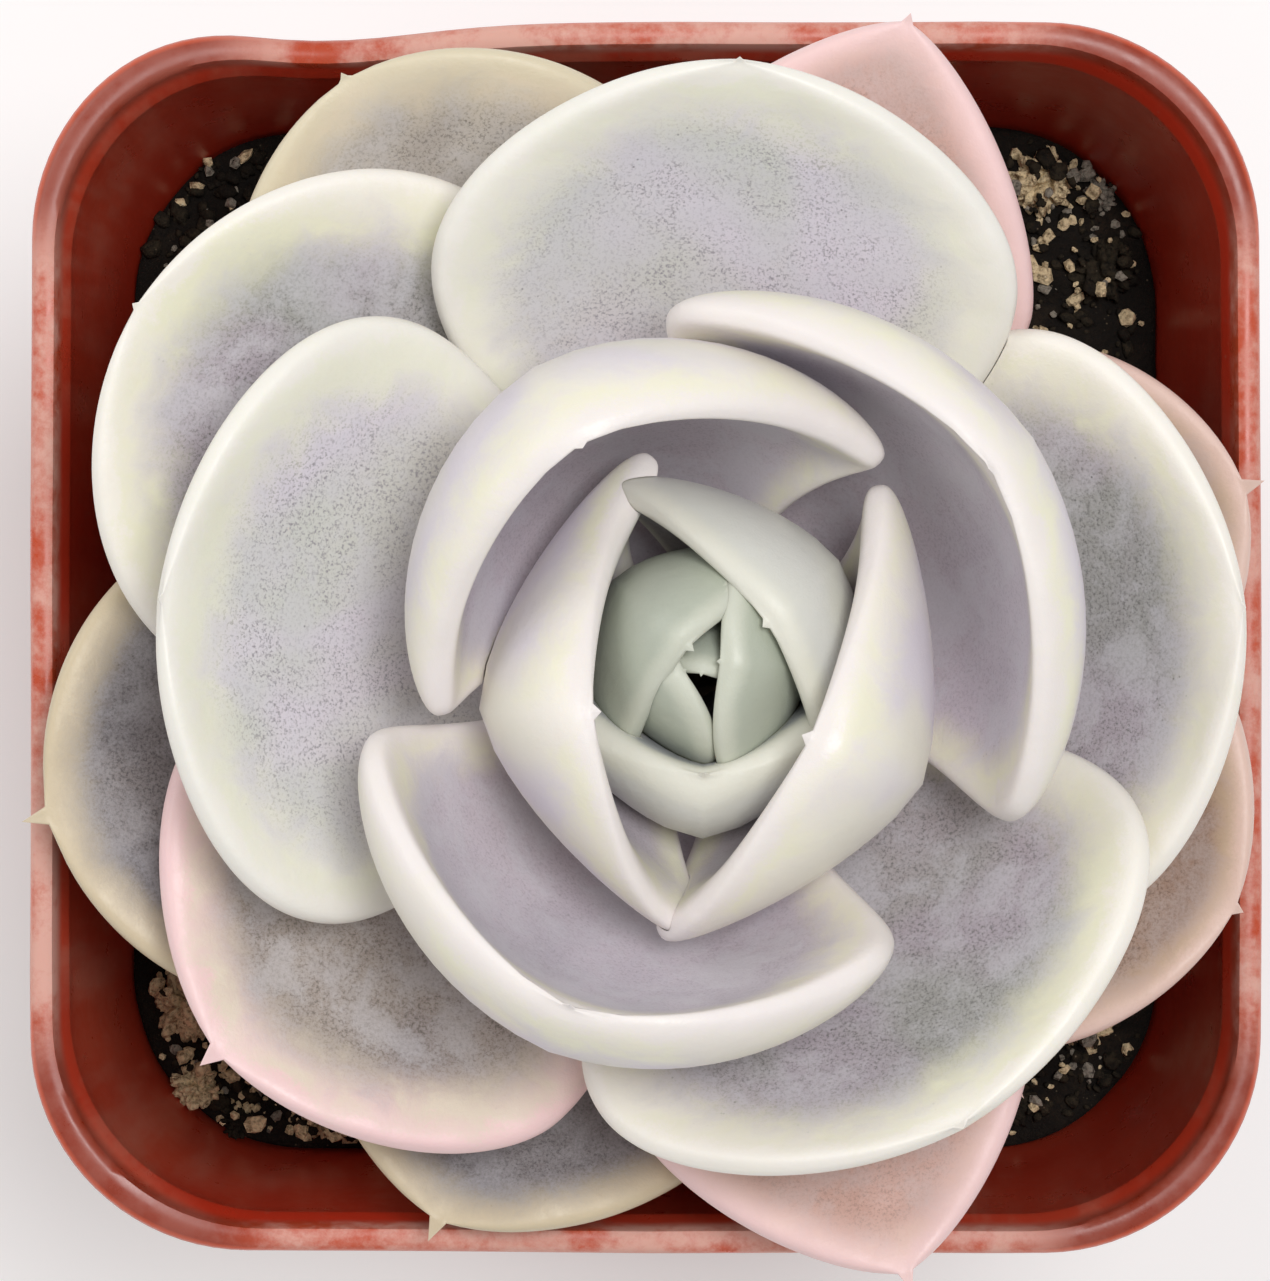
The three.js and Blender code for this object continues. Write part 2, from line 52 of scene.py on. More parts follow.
pot_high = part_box("pot")[1]
POT_HEIGHT = pot_high.z
LIP_HALF = pot_high.x
MOUTH_HALF = LIP_HALF - 0.0005
BASE_HALF = 0.025
WALL = 0.0009
FLOOR = 0.0012
CORNER_TOP = 0.011
CORNER_BASE = 0.007
LIP_TALL = 0.003
LIP_ROLL = 0.0022  # how far down inside the mouth the lip's rolled edge reaches
DRAIN_RADIUS = 0.0025
DRAIN_SPACING = 0.03
POT_SLOTS = 4 * 44  # points round the pot
STRAIGHT_END = MOUTH_HALF - CORNER_TOP  # where the lip's straight sides end and its corners begin
CORNER_SHARE = 20  # of the 44 in each quarter, how many steps lie round the corner
MOST_STRAIGHT = 0.65  # share of a small square's half width that may be straight
WALL_STEPS = 14  # outlines from the bottom of the wall to the lip
STRAIGHT_BELOW = 0.3  # share of the pot's height up to which the wall is true
BOW_WIDE = 0.035  # the half width that the sides' bow is measured against
DENT = (-0.0185, 0.0335)  # a knock in the lip, with how wide, how far in and how far down it goes
DENT_REACH = 0.0075
DENT_IN = 0.0009
DENT_DOWN = 0.0006
PLASTIC = (0.50, 0.034, 0.013)
PLASTIC_CLOUDED = (0.58, 0.066, 0.030)
PLASTIC_THIN_LIT = (0.60, 0.085, 0.030)  # painted light on the lip's thin edge, where light comes through
PLASTIC_OUTSIDE = (0.32, 0.030, 0.013)
PLASTIC_RIM_SHADE = (0.25, 0.030, 0.013)  # painted shade on the lip's glossy top, darker where it catches no light
PLASTIC_HAZE_AND_SHEEN = (0.62, 0.22, 0.15)  # fine scratches and dust high on the wall, with a painted sheen over them
PLASTIC_PALE = (0.74, 0.44, 0.37)  # where handling has rubbed the lip
PLASTIC_SCRATCHED = (0.40, 0.12, 0.085)
PLASTIC_DUSTY = (0.42, 0.27, 0.2)


def mesh_object(name, bm, material, smooth=True):
    """A finished object from a bmesh, with one material, riding on the root."""
    bmesh.ops.recalc_face_normals(bm, faces=bm.faces)
    mesh = bpy.data.meshes.new(name)
    bm.to_mesh(mesh)
    bm.free()
    for polygon in mesh.polygons:
        polygon.use_smooth = smooth
    mesh.materials.append(material)
    made = bpy.data.objects.new(name, mesh)
    bpy.context.collection.objects.link(made)
    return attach(made, "root")


class Nodes:
    """Short names for building one material's node tree."""

    def __init__(self, name):
        self.material = bpy.data.materials.new(name)
        self.material.use_nodes = True
        self.tree = self.material.node_tree
        self.tree.nodes.clear()
        self.output = self.tree.nodes.new("ShaderNodeOutputMaterial")
        self.shader = self.tree.nodes.new("ShaderNodeBsdfPrincipled")
        self.tree.links.new(self.shader.outputs[0], self.output.inputs[0])

    def link(self, value, socket):
        if isinstance(value, bpy.types.NodeSocket):
            self.tree.links.new(value, socket)
        else:
            socket.default_value = value

    def set(self, name, value):
        if isinstance(value, tuple) and len(value) == 3 and "Color" in name:
            value = (*value, 1)
        self.link(value, self.shader.inputs[name])

    def place(self):
        return self.tree.nodes.new("ShaderNodeTexCoord").outputs["Object"]

    def attribute(self, name):
        node = self.tree.nodes.new("ShaderNodeAttribute")
        node.attribute_name = name
        return node.outputs["Fac"]

    def scaled(self, vector, scale):
        node = self.tree.nodes.new("ShaderNodeMapping")
        self.link(vector, node.inputs["Vector"])
        node.inputs["Scale"].default_value = scale
        return node.outputs[0]

    def noise(self, vector, scale, detail=3, rough=0.55, twist=0):
        node = self.tree.nodes.new("ShaderNodeTexNoise")
        self.link(vector, node.inputs["Vector"])
        node.inputs["Scale"].default_value = scale
        node.inputs["Detail"].default_value = detail
        node.inputs["Roughness"].default_value = rough
        node.inputs["Distortion"].default_value = twist
        return node.outputs["Fac"]

    def cells(self, vector, scale):
        node = self.tree.nodes.new("ShaderNodeTexVoronoi")
        self.link(vector, node.inputs["Vector"])
        node.inputs["Scale"].default_value = scale
        return node.outputs["Distance"]

    def math(self, operation, a, b=0.0):
        node = self.tree.nodes.new("ShaderNodeMath")
        node.operation = operation
        self.link(a, node.inputs[0])
        self.link(b, node.inputs[1])
        return node.outputs[0]

    def ramp(self, value, low, high, start=0.0, end=1.0):
        """value from low to high becomes start to end, held at both ends."""
        node = self.tree.nodes.new("ShaderNodeMapRange")
        node.interpolation_type = "SMOOTHSTEP"
        self.link(value, node.inputs["Value"])
        node.inputs["From Min"].default_value = low
        node.inputs["From Max"].default_value = high
        node.inputs["To Min"].default_value = start
        node.inputs["To Max"].default_value = end
        return node.outputs[0]

    def mix(self, share, a, b):
        node = self.tree.nodes.new("ShaderNodeMix")
        node.data_type = "RGBA"
        self.link(share, node.inputs[0])
        self.link((*a, 1) if isinstance(a, tuple) else a, node.inputs[6])
        self.link((*b, 1) if isinstance(b, tuple) else b, node.inputs[7])
        return node.outputs[2]

    def bump(self, height, distance, strength=1.0, under=None):
        node = self.tree.nodes.new("ShaderNodeBump")
        self.link(height, node.inputs["Height"])
        node.inputs["Distance"].default_value = distance
        node.inputs["Strength"].default_value = strength
        if under is not None:
            self.link(under, node.inputs["Normal"])
        return node.outputs[0]


def wall_half(z):
    """Half the pot's width outside, at a height."""
    return BASE_HALF + (MOUTH_HALF - BASE_HALF) * z / POT_HEIGHT


def inner(z):
    """Half its width inside the wall."""
    return wall_half(z) - WALL


def straight_half(z):
    """Half the length of a side's straight part."""
    return wall_half(z) - (CORNER_BASE + (CORNER_TOP - CORNER_BASE) * z / POT_HEIGHT)


def square_point(slot, half, z):
    """One point of the pot's rounded square outline, where the outline's half width is half."""
    quarter = POT_SLOTS // 4
    corner, step = divmod(slot, quarter)
    turn = min(step / CORNER_SHARE, 1) * 90
    angle = math.radians(90 * corner + turn)
    flat = min(straight_half(z), half * MOST_STRAIGHT)
    middle = math.radians(45 + 90 * corner)
    x = flat * math.copysign(1, math.cos(middle)) + (half - flat) * math.cos(angle)
    y = flat * math.copysign(1, math.sin(middle)) + (half - flat) * math.sin(angle)
    if step > CORNER_SHARE:  # along the straight side to the next corner, whose angle is a whole quarter turn
        share = (step - CORNER_SHARE) / (quarter - CORNER_SHARE)
        x -= 2 * flat * share * math.sin(angle)
        y += 2 * flat * share * math.cos(angle)
    return x, y


def bowed(x, y, z):
    """The thin wall isn't quite straight: the sides bow and the lip waves a little."""
    up = max(0, z / POT_HEIGHT - STRAIGHT_BELOW) / (1 - STRAIGHT_BELOW)
    bow = 0.00022 * math.sin(x * 95 + 0.6) + 0.00018 * math.sin(y * 88 + 2.2)
    dip = 0.00012 * up * up * math.sin(x * 130 - y * 70)
    away = (x - DENT[0]) ** 2 + (y - DENT[1]) ** 2
    dent = up * up * math.exp(-away / DENT_REACH**2)
    scale = 1 - 0.5 * up * up * abs(bow) / BOW_WIDE
    return x * scale, y * scale - DENT_IN * dent, z - abs(dip) - DENT_DOWN * dent


def heights(start, end, steps):
    """Even heights from start to end, with both of them."""
    return [start + (end - start) * k / steps for k in range(steps + 1)]


def squared_loft(profile):
    """A closed skin through outlines of (half width, height), extruded ring by ring from one circle."""
    bm = bmesh.new()
    through = bm.verts.layers.float.new("through")  # how far out from the wall's inside
    made = bmesh.ops.create_circle(bm, cap_ends=False, radius=1, segments=POT_SLOTS)
    ring = made["verts"]
    bm.verts.ensure_lookup_table()
    first = list(ring)

    def settle(verts, half, z):
        for slot, vert in enumerate(verts):
            x, y = square_point(slot, half, z)
            vert.co = bowed(x, y, z)
            vert[through] = half - inner(z)

    settle(ring, *profile[0])
    edges = list(bm.edges)
    for half, z in profile[1:]:
        grown = bmesh.ops.extrude_edge_only(bm, edges=edges)["geom"]
        verts = [v for v in grown if isinstance(v, bmesh.types.BMVert)]
        edges = [e for e in grown if isinstance(e, bmesh.types.BMEdge)]
        fresh = set(verts)
        partner = {}
        for vert in verts:
            for edge in vert.link_edges:
                other = edge.other_vert(vert)
                if other not in fresh:
                    partner[other] = vert
        ring = [partner[v] for v in ring]
        settle(ring, half, z)
    bmesh.ops.contextual_create(bm, geom=first)
    bmesh.ops.contextual_create(bm, geom=ring)
    return bm


def plastic_material():
    """Glossy plastic: clouded and scratched on the wall, with pale haze and painted sheen high up; rubbed
    pale on the lip, with painted shade on its top and painted light on its thin edge.
    """
    n = Nodes("red_brown_plastic")
    place = n.place()
    split = n.tree.nodes.new("ShaderNodeSeparateXYZ")
    n.link(place, split.inputs[0])
    x, y, z = split.outputs
    through = n.attribute("through")
    # masks
    on_lip = n.ramp(z, POT_HEIGHT - LIP_ROLL, POT_HEIGHT - 0.0002)
    high = n.ramp(z, POT_HEIGHT - 0.030, POT_HEIGHT - 0.004)
    across = n.math("MINIMUM", n.math("ABSOLUTE", x), n.math("ABSOLUTE", y))
    straight = n.ramp(across, STRAIGHT_END - 0.004, STRAIGHT_END + 0.002, 1.0, 0.12)
    outer = n.ramp(through, WALL + 0.0001, WALL + 0.0004)
    outside = n.ramp(through, 0.3 * WALL, 0.9 * WALL)
    # painted light: the lip's thin outer edge all round, and its top along the straight sides
    thin = n.math("MULTIPLY", on_lip, n.math("MAXIMUM", outer, n.math("MULTIPLY", straight, 0.8)))
    # patterns
    scuff = n.noise(place, 260, 6, 0.7)
    broad = n.noise(place, 45, 3, 0.5)
    rubbed = n.ramp(n.math("ADD", scuff, n.math("MULTIPLY", broad, 0.6)), 0.62, 0.92)
    worn = n.math("MULTIPLY", n.math("MULTIPLY", on_lip, rubbed), straight)
    scratches = n.noise(n.scaled(place, (900, 900, 30)), 1.0, 4, 0.6, 0.4)
    marks = n.math("MULTIPLY", n.ramp(scratches, 0.62, 0.72), n.ramp(n.noise(place, 120, 3), 0.45, 0.7))
    dust = n.ramp(n.cells(place, 900), 0.0, 0.13, 1.0, 0.0)
    dust = n.math("MULTIPLY", dust, n.ramp(n.noise(place, 160, 2), 0.5, 0.66))
    # pale streaks high on the wall: partly fine scratches and dust, partly painted sheen
    streaks = n.noise(n.scaled(place, (260, 260, 24)), 1.0, 4, 0.65)
    haze_and_sheen = n.math("MULTIPLY", n.ramp(streaks, 0.42, 0.68), n.ramp(broad, 0.38, 0.6))
    haze_and_sheen = n.math("MULTIPLY", haze_and_sheen, high)
    # colours
    wall = n.mix(n.ramp(broad, 0.35, 0.65), PLASTIC, PLASTIC_CLOUDED)
    wall = n.mix(n.math("MULTIPLY", outside, 0.7), wall, PLASTIC_OUTSIDE)
    wall = n.mix(n.math("MULTIPLY", marks, 0.32), wall, PLASTIC_SCRATCHED)
    wall = n.mix(n.math("MULTIPLY", dust, 0.6), wall, PLASTIC_DUSTY)
    wall = n.mix(n.math("MULTIPLY", haze_and_sheen, 0.55), wall, PLASTIC_HAZE_AND_SHEEN)
    # the lip: painted shade over its top, painted light on its thin edge
    lip = n.mix(thin, n.mix(on_lip, wall, PLASTIC_RIM_SHADE), PLASTIC_THIN_LIT)
    n.set("Base Color", n.mix(n.math("MULTIPLY", worn, 0.85), lip, PLASTIC_PALE))
    rough = n.ramp(scuff, 0.3, 0.7, 0.26, 0.4)
    n.set("Roughness", n.math("ADD", rough, n.math("MULTIPLY", worn, 0.25)))
    n.set("Specular IOR Level", 0.45)
    n.set("Subsurface Weight", 0.06)
    n.set("Subsurface Radius", (0.002, 0.0004, 0.0002))
    n.set("Subsurface Scale", 1.0)
    fine = n.bump(n.noise(place, 1400, 3), 0.00001, 0.5)
    n.set("Normal", n.bump(scratches, 0.00002, 0.6, fine))
    return n.material


# The outlines of the pot, from the middle underneath, out, up the wall, over the lip, down inside and in.
lip_foot = POT_HEIGHT - LIP_TALL
mouth = inner(POT_HEIGHT)
pot_profile = [(half, 0) for half in (0.001, 0.008, 0.016, 0.0225, BASE_HALF - 0.0009)]
pot_profile += [(BASE_HALF - 0.0003, 0.0003)]
pot_profile += [(wall_half(z), z) for z in heights(0.001, lip_foot - 0.001, WALL_STEPS)]
pot_profile += [
    (wall_half(lip_foot), lip_foot - 0.0002),
    (wall_half(lip_foot) + 0.00035, lip_foot + 0.0001),
    (LIP_HALF - 0.00005, lip_foot + 0.0005),
    (LIP_HALF, lip_foot + 0.0009),
    (LIP_HALF, POT_HEIGHT - 0.0006),
    (LIP_HALF - 0.00015, POT_HEIGHT - 0.0002),
    (LIP_HALF - 0.00045, POT_HEIGHT),
    (mouth + 0.0004, POT_HEIGHT),
    (mouth + 0.0001, POT_HEIGHT - 0.0001),
    (mouth - 0.00005, POT_HEIGHT - 0.0005),
    (inner(POT_HEIGHT - LIP_ROLL), POT_HEIGHT - LIP_ROLL),
    (inner(POT_HEIGHT - 0.0026) - 0.00022, POT_HEIGHT - 0.0026),
    (inner(POT_HEIGHT - 0.0034) - 0.00012, POT_HEIGHT - 0.0034),
]
pot_profile += [(inner(z), z) for z in heights(POT_HEIGHT - 0.005, FLOOR + 0.001, WALL_STEPS)]
pot_profile += [(half, FLOOR) for half in (inner(FLOOR) - 0.001, 0.016, 0.001)]


def cut_away(piece, cutters):
    """Takes the cutters' shapes out of a piece for good."""
    for cutter in cutters:
        cut = piece.modifiers.new("cut", "BOOLEAN")
        cut.operation = "DIFFERENCE"
        cut.solver = "MANIFOLD"
        cut.object = cutter
    bpy.context.view_layer.update()
    shaped = piece.evaluated_get(bpy.context.evaluated_depsgraph_get())
    mesh = bpy.data.meshes.new_from_object(shaped)
    piece.modifiers.clear()
    piece.data = mesh
    mesh.name = piece.name


pot = mesh_object("pot_moulding", squared_loft(pot_profile), plastic_material())
drill_bm = bmesh.new()
for column in (-1, 0, 1):
    for row in (-1, 0, 1):
        if column or row:  # the middle of the floor is left whole
            place = Matrix.Translation((column * DRAIN_SPACING / 2, row * DRAIN_SPACING / 2, 0))
            bmesh.ops.create_cone(
                drill_bm,
                cap_ends=True,
                segments=32,
                radius1=DRAIN_RADIUS,
                radius2=DRAIN_RADIUS,
                depth=4 * FLOOR,
                matrix=place,
            )
drill = mesh_object("drill", drill_bm, pot.data.materials[0])
cut_away(pot, [drill])
bpy.data.objects.remove(drill)
pot.data.set_sharp_from_angle(angle=math.radians(50))
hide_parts("pot")


# ---- The growing mix ----
# Dark peaty compost with grit, filling the pot to about two centimetres below its lip.
# It was filled loose round the roots and settled with watering, so its top is uneven.

MIX_TOP = 0.056
MIX_FOOT = FLOOR + 0.0003
MIX_CLEAR = 0.0002  # between the mix and the wall
MIX_LUMP = 0.0011
MIX_CRUMB = 0.0006
MIX_RINGS = 70  # outlines across the top, close enough together to carry its crumbs
MIX_SPAN = 0.0282  # how far in from its edge they reach
RING_RISE = 1e-6  # the hair's breadth that each stands above the last
CRUMBS_FADE = 0.004  # the crumbs grow to full height over this distance from the wall


def swell(x, y):
    """How far the top of the mix stands above its mean level."""
    broad = 0.6 * math.sin(210 * x + 1.3) * math.cos(180 * y - 0.4)
    small = 0.4 * math.sin(550 * x - 400 * y) * math.cos(610 * y + 200 * x + 2)
    return MIX_LUMP * (broad + small)


def crumbly(x, y):
    """The loose crumbs of the surface, on top of its swell."""
    place = Vector((x, y, 0.3))
    return MIX_CRUMB * (noise.fractal(place * 420, 0.7, 2.1, 4) - 0.2 * abs(noise.noise(place * 1500)))


def earth_material(name, dark, light, speck, share):
    """Crumbs of a dark and a light tone, with specks and painted shade between the grains. A larger share
    makes more of it light.
    """
    n = Nodes(name)
    place = n.place()
    patches = n.noise(place, 330, 5, 0.65, 0.3)
    grain = n.noise(place, 2600, 4, 0.7)
    body = n.mix(n.ramp(patches, 0.66 - share, 0.9 - share), dark, light)
    hollow = tuple(0.4 * c for c in dark)  # painted shade between the grains
    shade = n.mix(n.ramp(grain, 0.3, 0.6), hollow, body)
    tone = n.ramp(grain, 0.25, 0.8, 0.35, 1.3)
    bright = n.mix(n.math("MULTIPLY", tone, 0.25), shade, light)
    flecks = n.ramp(n.cells(place, 1900), 0.02, 0.16, 1.0, 0.0)
    flecks = n.math("MULTIPLY", flecks, n.ramp(n.noise(place, 700, 2), 0.52, 0.6))
    n.set("Base Color", n.mix(n.math("MULTIPLY", flecks, 0.8), bright, speck))
    n.set("Roughness", n.ramp(grain, 0.3, 0.7, 0.72, 0.97))
    n.set("Specular IOR Level", 0.25)
    under = n.bump(n.noise(place, 5200, 3, 0.7), 0.00006, 0.8)
    n.set("Normal", n.bump(grain, 0.00022, 1.0, under))
    return n.material


mix_profile = [(half, MIX_FOOT) for half in (0.001, 0.012, inner(FLOOR) - 0.0014)]
mix_profile += [(inner(z) - MIX_CLEAR, z) for z in (0.004, 0.015, 0.027, 0.039, 0.049, 0.054, MIX_TOP)]
mix_edge = inner(MIX_TOP) - MIX_CLEAR
for ring in range(1, MIX_RINGS + 1):
    mix_profile.append((mix_edge - MIX_SPAN * ring / MIX_RINGS, MIX_TOP + RING_RISE * ring))
mix_bm = squared_loft(mix_profile)
for vert in mix_bm.verts:
    if vert.co.z > MIX_TOP - 0.0004:
        reach = max(abs(vert.co.x), abs(vert.co.y))
        near_wall = min(1, max(0, (mix_edge - reach) / CRUMBS_FADE))
        lift = swell(vert.co.x, vert.co.y) + crumbly(vert.co.x, vert.co.y) * near_wall
        vert.co.z = MIX_TOP + lift
mix = mesh_object(
    "growing_mix_crumbly",
    mix_bm,
    earth_material("compost", (0.0065, 0.005, 0.004), (0.028, 0.019, 0.012), (0.20, 0.155, 0.10), 0.2),
)
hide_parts("growing_mix")


# ---- The clods and grains on top of the mix ----
# Lumps of dried compost and pumice grit that lie loose on the surface, in tan, near-black and grey.
# Around them lie crumbs and grains of the same kinds, a third of a millimetre to a little over one across.

CLOD_KINDS = {  # each kind: its dark tone, its light tone, its specks and how much of it is light
    "tan_clod": ((0.52, 0.35, 0.17), (0.95, 0.76, 0.47), (0.95, 0.86, 0.68), 0.7),
    "dark_clod": ((0.007, 0.005, 0.004), (0.045, 0.034, 0.02), (0.28, 0.22, 0.15), 0.3),
    "grey_clod": ((0.11, 0.095, 0.075), (0.36, 0.32, 0.26), (0.7, 0.66, 0.6), 0.5),
}
CLOD_BUMPS = 0.26  # depth of the bumps against the clod's own half width
CLOD_FINENESS = 5
earths = {kind: earth_material(kind + "_earth", *tones) for kind, tones in CLOD_KINDS.items()}


def clod(bm, centre, halves, seed):
    """A crumbly lump inside the box of half sizes halves round its centre."""
    made = bmesh.ops.create_icosphere(bm, subdivisions=CLOD_FINENESS, radius=1)
    away = Vector((seed * 3.7, seed * 1.3, seed * 0.9))
    for vert in made["verts"]:
        out = vert.co.normalized()
        lumps = noise.fractal(out * 1.7 + away, 0.9, 2.2, 4)
        crumbs = noise.voronoi(out * 2.6 + away)[0][0] ** 2
        crumbs += 0.4 * noise.voronoi(out * 6 + away)[0][0] ** 2
        size = min(1.06 + CLOD_BUMPS * (lumps - 0.4 - 2.6 * crumbs), 1)
        vert.co = Vector((out.x * halves.x, out.y * halves.y, out.z * halves.z)) * size + centre


clod_nodes = sorted(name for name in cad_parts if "_clod_" in name)
for number, node in enumerate(clod_nodes):
    kind = node[: node.rindex("_")]
    low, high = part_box(node)
    clod_bm = bmesh.new()
    clod(clod_bm, (low + high) / 2, (high - low) / 2, number + 1)
    piece = mesh_object(node + "_crumbly", clod_bm, earths[kind])
    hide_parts(node)

# where grains lie: the x and y of a patch's middle, its reach, and how many are tan, dark and grey
GRAIN_PATCHES = [
    (-0.0245, -0.0255, 0.0078, (0.66, 0.22, 0.12)),
    (-0.0175, -0.0285, 0.0050, (0.60, 0.30, 0.10)),
    (0.0245, 0.0240, 0.0085, (0.42, 0.44, 0.14)),
    (0.0240, -0.0265, 0.0085, (0.12, 0.74, 0.14)),
    (-0.0245, 0.0250, 0.0070, (0.10, 0.80, 0.10)),
    (0.0, 0.0265, 0.0130, (0.16, 0.70, 0.14)),
    (0.0, -0.0270, 0.0130, (0.16, 0.70, 0.14)),
    (0.0265, 0.0, 0.0130, (0.16, 0.70, 0.14)),
    (-0.0265, 0.0, 0.0130, (0.16, 0.70, 0.14)),
]
GRAINS_EACH = 330
GRAIN_SMALLEST = 0.00016
GRAIN_RANGE = 0.00042  # how much more the radius of the largest is
GRAIN_BUMPS = 0.13  # how far its corners stray, against its radius
WALL_KEPT = 0.0011  # a grain's middle stays this far from the pot's wall
CLOD_ROUND = 0.8  # grains lie on this much of a clod, by area
CLOD_CROWN = 0.84  # how high they lie on it, against its half height
chance = random.Random(7)
grain_kinds = list(CLOD_KINDS)
heaps = {kind: bmesh.new() for kind in grain_kinds}
clod_boxes = [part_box(node) for node in clod_nodes]


def ground(x, y):
    """The height of the mix, or of the clod that lies there."""
    height = MIX_TOP + swell(x, y)
    for low, high in clod_boxes:
        middle, half = (low + high) / 2, (high - low) / 2
        off = ((x - middle.x) / half.x) ** 2 + ((y - middle.y) / half.y) ** 2
        if off < CLOD_ROUND:
            height = max(height, middle.z + half.z * CLOD_CROWN * math.sqrt(1 - off))
    return height


straight = straight_half(MIX_TOP)
corner_round = inner(MIX_TOP) - WALL_KEPT - straight
for middle_x, middle_y, reach, shares in GRAIN_PATCHES:
    for _ in range(GRAINS_EACH):
        x = middle_x + chance.gauss(0, 0.5) * reach
        y = middle_y + chance.gauss(0, 0.5) * reach
        radius = GRAIN_SMALLEST + GRAIN_RANGE * chance.random() ** 3
        if math.hypot(max(0, abs(x) - straight), max(0, abs(y) - straight)) > corner_round:
            continue
        kind = chance.choices(grain_kinds, shares)[0]
        squash = 0.6 + 0.4 * chance.random()
        turn = Matrix.Rotation(chance.random() * math.tau, 4, "Z")
        tip = Matrix.Rotation(chance.gauss(0, 0.5), 4, "X")
        long = Matrix.Diagonal((1 + 0.6 * chance.random(), 1, squash, 1))
        place = Matrix.Translation((x, y, ground(x, y) + radius * (0.1 + 0.5 * squash)))
        shape = place @ turn @ tip @ long
        grain = bmesh.ops.create_icosphere(heaps[kind], subdivisions=1, radius=radius, matrix=shape)
        for vert in grain["verts"]:
            vert.co += Vector([chance.gauss(0, GRAIN_BUMPS) * radius for _ in range(3)])
for kind, heap in heaps.items():
    grains = mesh_object(kind.replace("clod", "grains"), heap, earths[kind], smooth=kind == "dark_clod")


# ---- The stem ----
# A short woody stem, ringed by the scars of old leaves and covered in corky bark.
# It is rooted in the mix, tapers to the growing point and is hidden under the rosette.

stem_low, stem_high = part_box("stem")
CROWN = Vector((0.003, -0.0012, POT_HEIGHT + 0.009))
STEM_RADIUS = 0.0036
TIP_RADIUS = 0.0006
TAPER = 0.011  # how far below the growing point the stem reaches its full width
STEM_SIDES = 48
STEM_RUNGS = 120
BARK_DEPTH = 0.0003  # room for the scars and knots inside the stem's full width
SCAR = 0.00022
SCAR_PITCH = 1900  # radians of the scars' wave in a metre
SCARS_END = 0.004  # the scars stop this far below the growing point


def stem_radius(z):
    """The stem's radius at a height."""
    down = min(max((CROWN.z - z) / TAPER, 0), 1)
    return TIP_RADIUS + (STEM_RADIUS - TIP_RADIUS) * down**0.7


stem_bm = bmesh.new()
line = []
for k in range(STEM_RUNGS + 1):
    z = stem_low.z + (stem_high.z - stem_low.z) * k / STEM_RUNGS
    scar = SCAR * abs(math.sin(z * SCAR_PITCH)) ** 3 * (z < CROWN.z - SCARS_END)
    line.append(stem_bm.verts.new((stem_radius(z) - BARK_DEPTH + scar, 0, z)))
foot = stem_bm.verts.new((0, 0, stem_low.z))
cap = stem_bm.verts.new((0, 0, stem_high.z))
path = [foot, *line, cap]
edges = [stem_bm.edges.new(pair) for pair in zip(path, path[1:])]
bmesh.ops.spin(
    stem_bm, geom=edges, cent=(0, 0, 0), axis=(0, 0, 1), angle=math.tau, steps=STEM_SIDES, use_merge=True
)
bmesh.ops.remove_doubles(stem_bm, verts=stem_bm.verts, dist=1e-7)
for vert in stem_bm.verts:
    knots = noise.noise(vert.co * 420) * 0.00018
    out = Vector((vert.co.x, vert.co.y, 0))
    if out.length > 0.0005:
        vert.co += out.normalized() * min(knots, 0.0001)
    vert.co += Vector((CROWN.x, CROWN.y, 0))


def bark_material():
    """Brown corky bark, with a grain that runs up the stem."""
    n = Nodes("stem_bark")
    place = n.place()
    grain = n.noise(n.scaled(place, (900, 900, 260)), 1.0, 5, 0.65)
    n.set("Base Color", n.mix(n.ramp(grain, 0.3, 0.7), (0.10, 0.062, 0.035), (0.36, 0.29, 0.2)))
    n.set("Roughness", n.ramp(grain, 0.3, 0.7, 0.7, 0.9))
    n.set("Normal", n.bump(grain, 0.00012, 0.9))
    return n.material


stem = mesh_object("stem_woody", stem_bm, bark_material())
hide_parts("stem")


# ---- The leaves ----
# Thick spoon-shaped blades set one after another round the stem, each with a waxy bloom over its skin.
# They grow from the middle outwards: closed and keeled inside, open and worn outside.

DIVERGENCE = 138.5  # degrees round the stem from one leaf to the next
FIRST_LEAF = 84
LEAF_PITCH = 0.0008  # how much lower each leaf is set than the last
LEAF_GAP = 0.0003
CURL = 1.25  # above 1, most of a blade's bend is near its tip
WIDEST = 0.6  # where along it a blade is widest
FOOT_WIDTH = 0.3
FOOT_FLARE = 1.3  # above 1, a blade stays narrow for longer above its foot
FOOT_THICK = 0.72  # share of the full thickness at the foot
ROUNDNESS = 1.09  # 1 gives a true ellipse at a bluntness of 2
CUP_EASE = 0.6  # how fast the cupping eases off from the widest place to the tip
SPINE_WIDTH = 0.09  # share of the full width at the root of the fine point
SPINE_THICK = 0.16  # share of the full thickness there
END_DROP = 5  # above 2, a blade keeps its thickness until close to its end
RING_SHARE = 1.35  # above 1, the rings crowd towards the tip
MARGIN_SHARE = 0.85  # below 1, the points of a ring crowd towards the margins
SIDE_ROUND = 0.7  # below 1, a section is boxier than an ellipse
TOP_HOLLOW = 0.35  # how far the upper face sinks along its middle, as a share of half the thickness
POLE_ROUND = 0.08  # share of the rings over which the foot rounds out
CUP_STEPS = 8
SPINE_STEPS = 48
LEAF_SIDES = 88
LEAF_RINGS = 96
LIP_REACH = 0.0022  # a leaf that comes this close to the lip's outside
LIP_DROP = 0.006  # and is no lower than this under its top
LIP_CLEAR = 0.00025  # is held up this far above it
